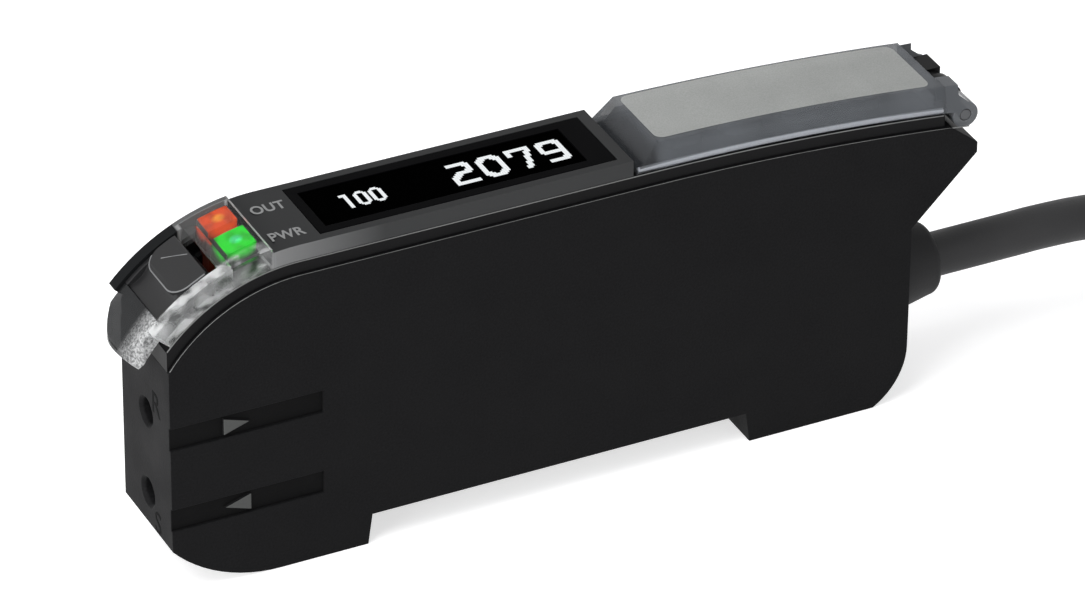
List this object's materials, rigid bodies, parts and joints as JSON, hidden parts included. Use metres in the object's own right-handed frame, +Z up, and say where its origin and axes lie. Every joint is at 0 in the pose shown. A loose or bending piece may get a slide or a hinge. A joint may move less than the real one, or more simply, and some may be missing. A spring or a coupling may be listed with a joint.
{
  "type": "fibre optic sensor amplifier",
  "caption": "Slim rail-mounted fibre optic sensor amplifier with a display, a fibre lock lever, a hinged clear cover over its keys, fibre ports in front and a cable behind.",
  "frame": {"origin": "middle of the rail seat, where the case sits on a 35 mm rail", "axes": "+X from the fibre end to the cable end, +Y across the case along the rail, +Z up"},
  "size_m": [0.2027, 0.0366, 0.032],
  "materials": {
    "case_plastic": "fine spark-eroded grain",
    "deck_plastic": "satin",
    "clear_plastic": "polished clear",
    "smoked_plastic": "polished outside, frosted inside",
    "mask_film": "printed film",
    "display_glass": "polished",
    "ribbon_film": "smooth film",
    "inner_plastic": "moulded",
    "circuit_board": "solder mask",
    "chip_resin": "moulded resin",
    "capacitor_can": "drawn can",
    "lamp_resin": "cast resin",
    "orange_guide": "polished, lit",
    "green_guide": "polished, lit",
    "sheet_steel": "tinned sheet",
    "slider_plastic": "moulded",
    "lever_plastic": "polished scoop, satin pad",
    "pin_steel": "ground",
    "key_plastic": "moulded",
    "switch_steel": "pressed",
    "grommet_rubber": "moulded",
    "cable_sheath": "extruded, matt",
    "tie_plastic": "woven strap",
    "lead_sheath": "extruded"
  },
  "bodies": {
    "housing": {"case": "case_plastic", "top_deck": "deck_plastic", "display_window": "clear_plastic", "display_mask": "mask_film", "display": "display_glass", "display_ribbon": "ribbon_film", "display_holder": "inner_plastic", "panel_board": "circuit_board", "main_board": "circuit_board", "board_header": "inner_plastic", "processor": "chip_resin", "output_transistor": "chip_resin", "filter_capacitor": "capacitor_can", "out_lamp": "lamp_resin", "power_lamp": "lamp_resin", "out_light_guide": "orange_guide", "power_light_guide": "green_guide", "fibre_block": "inner_plastic", "emitter": "lamp_resin", "receiver": "chip_resin", "receiver_shield": "sheet_steel", "lever_pin": "pin_steel", "cover_hinge_pin": "pin_steel", "set_switch": "switch_steel", "plus_switch": "switch_steel", "minus_switch": "switch_steel", "mode_switch": "switch_steel", "cable_grommet": "grommet_rubber", "inner_leads": "lead_sheath", "cable": "cable_sheath", "cable_coil": "cable_sheath", "coil_tie": "tie_plastic", "bare_leads": "lead_sheath"},
    "lever": {"lock_lever": "lever_plastic", "lever_lip": "clear_plastic"},
    "clamp": {"clamp_slider": "slider_plastic"},
    "cover": {"protective_cover": "smoked_plastic"},
    "set_button": {"set_key": "key_plastic"},
    "plus_button": {"plus_key": "key_plastic"},
    "minus_button": {"minus_key": "key_plastic"},
    "mode_button": {"mode_key": "key_plastic"}
  },
  "joints": [
    {"name": "cover_hinge", "type": "hinge", "parent": "housing", "child": "cover", "pos_m": [0.03835, 0, 0.0245], "axis": [0, 1, 0], "range_deg": [0, 110]},
    {"name": "lever_hinge", "type": "hinge", "parent": "housing", "child": "lever", "pos_m": [-0.0309, 0, 0.02398], "axis": [0, 1, 0], "range_deg": [0, 40]},
    {"name": "clamp_slide", "type": "slide", "parent": "housing", "child": "clamp", "axis": [0, 0, 1], "range_m": [0, 0.0004]},
    {"name": "set_press", "type": "slide", "parent": "housing", "child": "set_button", "axis": [0, 0, -1], "range_m": [0, 0.00025], "stiffness_N_per_m": 800, "springref_m": -0.0001},
    {"name": "plus_press", "type": "slide", "parent": "housing", "child": "plus_button", "axis": [0, 0, -1], "range_m": [0, 0.00025], "stiffness_N_per_m": 800, "springref_m": -0.0001},
    {"name": "minus_press", "type": "slide", "parent": "housing", "child": "minus_button", "axis": [0, 0, -1], "range_m": [0, 0.00025], "stiffness_N_per_m": 800, "springref_m": -0.0001},
    {"name": "mode_press", "type": "slide", "parent": "housing", "child": "mode_button", "axis": [0, 0, -1], "range_m": [0, 0.00025], "stiffness_N_per_m": 800, "springref_m": -0.0001}
  ],
  "couplings": [
    {"joint": "lever_hinge", "follows": "clamp_slide", "rad_per_m": 1745}
  ]
}
